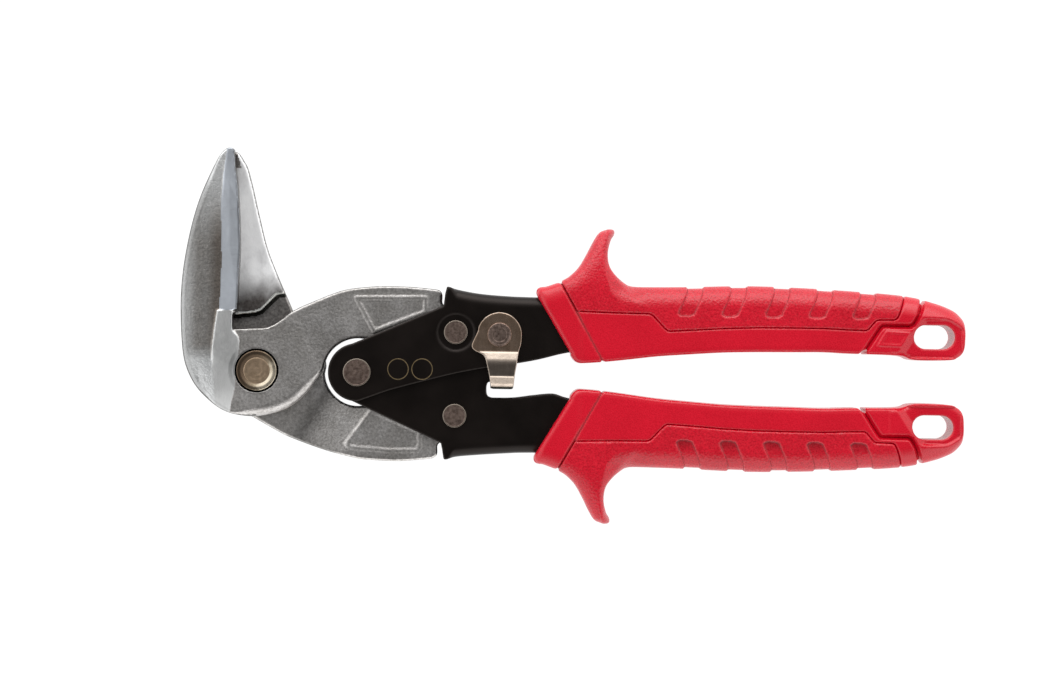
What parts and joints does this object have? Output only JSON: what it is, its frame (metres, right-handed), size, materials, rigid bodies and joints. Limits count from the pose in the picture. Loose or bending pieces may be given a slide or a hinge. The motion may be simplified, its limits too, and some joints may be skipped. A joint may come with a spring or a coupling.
{
  "type": "aviation snips",
  "caption": "Hand-held compound-lever metal snips with upright blades, channel handles, a thumb latch, moulded grips and hang slots.",
  "frame": {"origin": "bottom centre of the closed tool lying on its side", "axes": "+X from the blades to the grip ends, +Y towards the blade tips, +Z along the jaw pivot, up from the table"},
  "size_m": [0.2354, 0.1112, 0.0211],
  "materials": {
    "forged_steel": "forged, ground and satin",
    "plated_bolt": "plated, satin",
    "black_channel": "black, semi-gloss",
    "dark_rivet": "oiled steel, satin",
    "spring_wire": "drawn wire",
    "latch_plate": "nickel plated",
    "grip_shell": "fine stipple",
    "grip_cover": "leathery stipple"
  },
  "bodies": {
    "upper_handle": {"upper_handle": "black_channel", "handle_rivet": "dark_rivet", "upper_link_rivet": "dark_rivet", "upper_link_washers": "dark_rivet", "latch_rivet": "dark_rivet", "latch_washer": "dark_rivet", "opening_spring": "spring_wire", "upper_grip_core": "grip_shell", "upper_grip_sleeve": "grip_cover", "upper_end_cap": "grip_shell"},
    "lower_handle": {"lower_handle": "black_channel", "handle_spacer": "dark_rivet", "lower_link_rivet": "dark_rivet", "lower_link_washers": "dark_rivet", "lower_grip_core": "grip_shell", "lower_grip_sleeve": "grip_cover", "lower_end_cap": "grip_shell"},
    "upper_jaw": {"upper_jaw": "forged_steel", "pivot_bolt": "plated_bolt", "pivot_washer": "plated_bolt", "pivot_nut": "plated_bolt"},
    "lower_jaw": {"lower_jaw": "forged_steel"},
    "latch": {"latch": "latch_plate"}
  },
  "joints": [
    {"name": "handles_open", "type": "hinge", "parent": "upper_handle", "child": "lower_handle", "pos_m": [-0.06419, -0.01119, 0.009], "axis": [0, 0, -1], "range_deg": [0, 26], "deforming": ["opening_spring"]},
    {"name": "upper_link", "type": "hinge", "parent": "upper_handle", "child": "upper_jaw", "pos_m": [-0.03479, 0.00131, 0.009], "axis": [0, 0, -1], "range_deg": [0, 6.83]},
    {"name": "jaw_pivot", "type": "hinge", "parent": "upper_jaw", "child": "lower_jaw", "pos_m": [-0.09439, -0.01119, 0.009], "axis": [0, 0, -1], "range_deg": [0, 12.38]},
    {"name": "latch_swing", "type": "hinge", "parent": "upper_handle", "child": "latch", "pos_m": [-0.02169, 0.00081, 0.009], "axis": [0, 0, 1], "range_deg": [0, 38]}
  ],
  "couplings": [
    {"joint": "upper_link", "follows": "handles_open", "ratio": 0.2622},
    {"joint": "jaw_pivot", "follows": "handles_open", "ratio": 0.4756}
  ]
}
